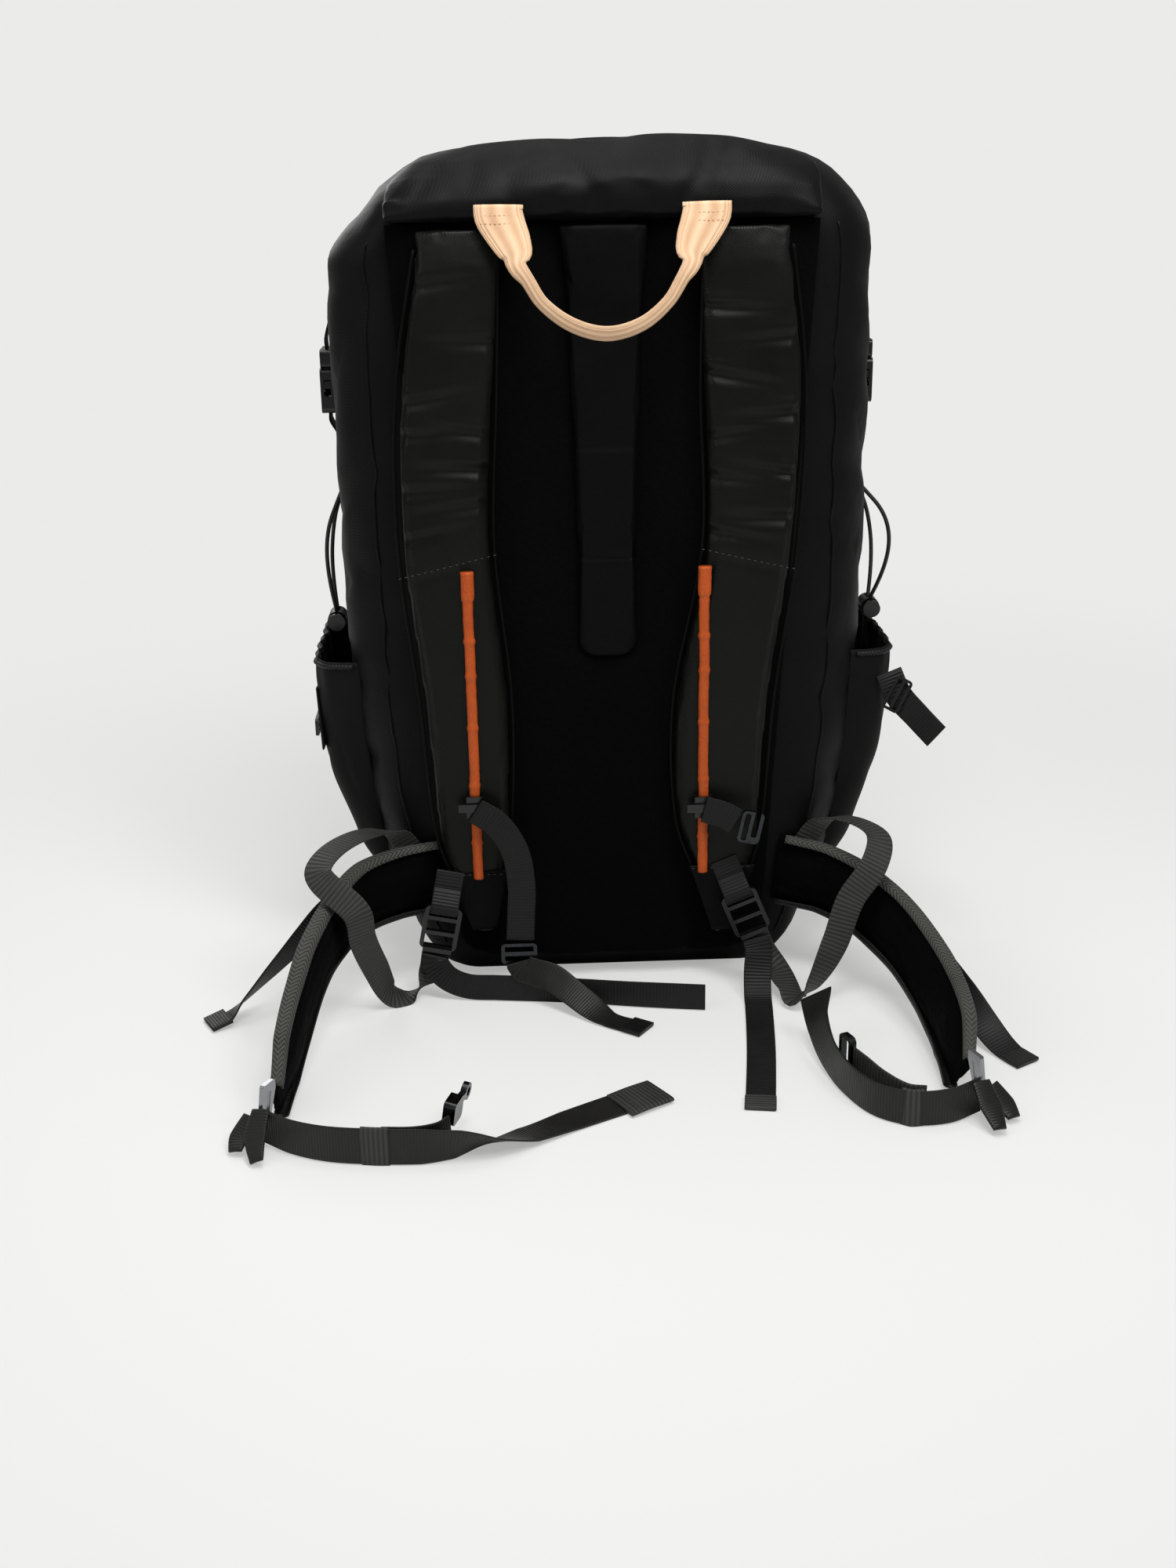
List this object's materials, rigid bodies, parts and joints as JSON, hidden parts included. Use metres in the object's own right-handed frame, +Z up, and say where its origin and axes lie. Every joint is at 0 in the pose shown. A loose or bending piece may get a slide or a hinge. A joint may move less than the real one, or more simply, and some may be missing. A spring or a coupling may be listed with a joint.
{
  "type": "travel backpack",
  "caption": "Tall padded travel backpack with a framed harness back, folding front door, side pockets, sliding sternum strap, hip belt wings and side compression buckles.",
  "frame": {"origin": "middle of the flat base where the pack stands on the ground", "axes": "+Z up, -Y towards the harness side that lies on the wearer's back, +Y towards the zipped door, +X to the right seen from the harness side"},
  "size_m": [0.5785, 0.4833, 0.59],
  "materials": {
    "shell_fabric": "coated dark grey nylon, plain weave",
    "pocket_fabric": "stretch nylon with a bound mouth",
    "back_mesh": "near-black spacer mesh",
    "tongue_fabric": "dark quilted nylon",
    "frame_plastic": "die-cut polyethylene sheet",
    "frame_aluminium": "extruded flat bar, mill finish",
    "lining_fabric": "grey lining nylon",
    "zip_tape": "coated zip tape, matt",
    "zip_metal": "die-cast zinc, dark plated",
    "strap_fabric": "charcoal satin-faced nylon over foam",
    "rail_leather": "tan leather-like binding",
    "handle_webbing": "peach flat-woven webbing",
    "dark_webbing": "grey-brown flat-woven webbing",
    "black_plastic": "moulded acetal, fine matt texture",
    "plate_metal": "stamped steel, satin",
    "hook_metal": "forged aluminium, dark anodised",
    "cord_elastic": "braided elastic cord"
  },
  "bodies": {
    "pack": {"base_panel": "shell_fabric", "crown_panel": "shell_fabric", "back_panel": "back_mesh", "side_gusset_left": "shell_fabric", "side_gusset_right": "shell_fabric", "top_roll": "shell_fabric", "back_pad": "back_mesh", "spine_tongue": "tongue_fabric", "frame_sheet": "frame_plastic", "frame_stays": "frame_aluminium", "laptop_sleeve": "lining_fabric", "bag_zip_tape": "zip_tape", "side_pocket_left": "pocket_fabric", "side_pocket_right": "pocket_fabric", "adjuster_web_left": "dark_webbing", "adjuster_web_right": "dark_webbing", "buckle_sockets": "black_plastic", "buckle_plugs": "black_plastic", "side_webbing": "dark_webbing", "shock_cord_left": "cord_elastic", "shock_cord_right": "cord_elastic", "cordlock_barrels": "black_plastic", "pocket_straps": "dark_webbing", "pocket_glides": "black_plastic", "stabilizer_tails": "dark_webbing"},
    "door": {"front_door": "shell_fabric", "door_zip_tape": "zip_tape", "front_pouch": "shell_fabric"},
    "pouch_slider": {"pouch_slider": "zip_metal"},
    "haul_handle": {"haul_handle": "handle_webbing"},
    "door_slider_left": {"door_slider_left": "zip_metal"},
    "door_puller_left": {"door_puller_left": "zip_metal"},
    "strap_left": {"shoulder_strap_left": "strap_fabric", "strap_rail_left": "rail_leather"},
    "ladder_lock_left": {"ladder_lock_left": "black_plastic"},
    "sternum_slider_left": {"sternum_slider_left": "black_plastic"},
    "sternum_strap_left": {"sternum_web_left": "dark_webbing", "sternum_buckle": "black_plastic"},
    "hip_wing_left": {"hip_wing_left": "strap_fabric", "hip_plate_left": "plate_metal", "belt_web_left": "dark_webbing"},
    "buckle_prong_back_left": {"buckle_prong_back_left": "black_plastic"},
    "buckle_prong_front_left": {"buckle_prong_front_left": "black_plastic"},
    "cordlock_plunger_left": {"cordlock_plunger_left": "black_plastic"},
    "door_slider_right": {"door_slider_right": "zip_metal"},
    "door_puller_right": {"door_puller_right": "zip_metal"},
    "strap_right": {"shoulder_strap_right": "strap_fabric", "strap_rail_right": "rail_leather"},
    "ladder_lock_right": {"ladder_lock_right": "black_plastic"},
    "sternum_slider_right": {"sternum_slider_right": "black_plastic"},
    "sternum_strap_right": {"sternum_web_right": "dark_webbing", "sternum_hook": "hook_metal"},
    "hip_wing_right": {"hip_wing_right": "strap_fabric", "hip_plate_right": "plate_metal", "belt_web_right": "dark_webbing"},
    "buckle_prong_back_right": {"buckle_prong_back_right": "black_plastic"},
    "buckle_prong_front_right": {"buckle_prong_front_right": "black_plastic"},
    "cordlock_plunger_right": {"cordlock_plunger_right": "black_plastic"},
    "belt_hook": {"belt_hook": "hook_metal"},
    "belt_ring": {"belt_ring": "hook_metal"}
  },
  "joints": [
    {"name": "door_fold", "type": "hinge", "parent": "pack", "child": "door", "pos_m": [0, 0.105, 0.08], "axis": [-1, 0, 0], "range_deg": [0, 95]},
    {"name": "pouch_zip", "type": "slide", "parent": "door", "child": "pouch_slider", "axis": [-1, 0, 0], "range_m": [0, 0.12]},
    {"name": "handle_swing", "type": "hinge", "parent": "pack", "child": "haul_handle", "pos_m": [0, -0.1109, 0.557], "axis": [-1, 0, 0], "range_deg": [0, 140]},
    {"name": "door_zip_left", "type": "slide", "parent": "door", "child": "door_slider_left", "axis": [0, 0, -1], "range_m": [0, 0.34]},
    {"name": "puller_swing_left", "type": "hinge", "parent": "door_slider_left", "child": "door_puller_left", "pos_m": [-0.1325, 0.1108, 0.452], "axis": [1, 0, 0], "range_deg": [0, 150]},
    {"name": "strap_fold_left", "type": "hinge", "parent": "pack", "child": "strap_left", "pos_m": [0, -0.107, 0.541], "axis": [-1, 0, 0], "range_deg": [0, 12], "deforming": ["adjuster_web_left"]},
    {"name": "lock_tilt_left", "type": "hinge", "parent": "strap_left", "child": "ladder_lock_left", "pos_m": [-0.12228, -0.1225, 0.07016], "axis": [-0.9781, 0, 0.2079], "range_deg": [0, 20]},
    {"name": "sternum_height_left", "type": "slide", "parent": "strap_left", "child": "sternum_slider_left", "axis": [0, 0, 1], "range_m": [0, 0.13]},
    {"name": "sternum_swing_left", "type": "hinge", "parent": "sternum_slider_left", "child": "sternum_strap_left", "pos_m": [-0.097, -0.1247, 0.146], "axis": [0, 0, -1], "range_deg": [0, 40]},
    {"name": "wing_turn_left", "type": "hinge", "parent": "pack", "child": "hip_wing_left", "pos_m": [-0.121, -0.0926, 0.083], "axis": [0, 0, 1], "range_deg": [-15, 8], "deforming": ["stabilizer_tails"]},
    {"name": "prong_back_left", "type": "hinge", "parent": "pack", "child": "buckle_prong_back_left", "pos_m": [-0.1955, 0.009, 0.44], "axis": [1, 0, 0], "range_deg": [0, 9], "stiffness_Nm_per_rad": 0.6, "springref_deg": -2.86},
    {"name": "prong_front_left", "type": "hinge", "parent": "pack", "child": "buckle_prong_front_left", "pos_m": [-0.1955, 0.031, 0.44], "axis": [-1, 0, 0], "range_deg": [0, 9], "stiffness_Nm_per_rad": 0.6, "springref_deg": -2.86},
    {"name": "cordlock_press_left", "type": "slide", "parent": "pack", "child": "cordlock_plunger_left", "axis": [0, 1, 0], "range_m": [0, 0.004], "stiffness_N_per_m": 400, "springref_m": -0.002},
    {"name": "door_zip_right", "type": "slide", "parent": "door", "child": "door_slider_right", "axis": [0, 0, -1], "range_m": [0, 0.34]},
    {"name": "puller_swing_right", "type": "hinge", "parent": "door_slider_right", "child": "door_puller_right", "pos_m": [0.1325, 0.1108, 0.452], "axis": [1, 0, 0], "range_deg": [0, 150]},
    {"name": "strap_fold_right", "type": "hinge", "parent": "pack", "child": "strap_right", "pos_m": [0, -0.107, 0.541], "axis": [-1, 0, 0], "range_deg": [0, 12], "deforming": ["adjuster_web_right"]},
    {"name": "lock_tilt_right", "type": "hinge", "parent": "strap_right", "child": "ladder_lock_right", "pos_m": [0.09119, -0.1225, 0.07437], "axis": [-0.9272, 0, -0.3746], "range_deg": [0, 20]},
    {"name": "sternum_height_right", "type": "slide", "parent": "strap_right", "child": "sternum_slider_right", "axis": [0, 0, 1], "range_m": [0, 0.13]},
    {"name": "sternum_swing_right", "type": "hinge", "parent": "sternum_slider_right", "child": "sternum_strap_right", "pos_m": [0.066, -0.1243, 0.142], "axis": [0, 0, -1], "range_deg": [0, 40]},
    {"name": "wing_turn_right", "type": "hinge", "parent": "pack", "child": "hip_wing_right", "pos_m": [0.121, -0.0926, 0.083], "axis": [0, 0, 1], "range_deg": [-8, 15]},
    {"name": "prong_back_right", "type": "hinge", "parent": "pack", "child": "buckle_prong_back_right", "pos_m": [0.1955, 0.009, 0.44], "axis": [1, 0, 0], "range_deg": [0, 9], "stiffness_Nm_per_rad": 0.6, "springref_deg": -2.86},
    {"name": "prong_front_right", "type": "hinge", "parent": "pack", "child": "buckle_prong_front_right", "pos_m": [0.1955, 0.031, 0.44], "axis": [-1, 0, 0], "range_deg": [0, 9], "stiffness_Nm_per_rad": 0.6, "springref_deg": -2.86},
    {"name": "cordlock_press_right", "type": "slide", "parent": "pack", "child": "cordlock_plunger_right", "axis": [0, 1, 0], "range_m": [0, 0.004], "stiffness_N_per_m": 400, "springref_m": -0.002},
    {"name": "belt_hook_turn", "type": "hinge", "parent": "hip_wing_left", "child": "belt_hook", "pos_m": [-0.114, -0.34, 0.015], "axis": [0, 0, 1], "range_deg": [-20, 20]},
    {"name": "belt_ring_turn", "type": "hinge", "parent": "hip_wing_right", "child": "belt_ring", "pos_m": [0.1498, -0.2765, 0.019], "axis": [0, 0, 1], "range_deg": [-20, 6]}
  ]
}
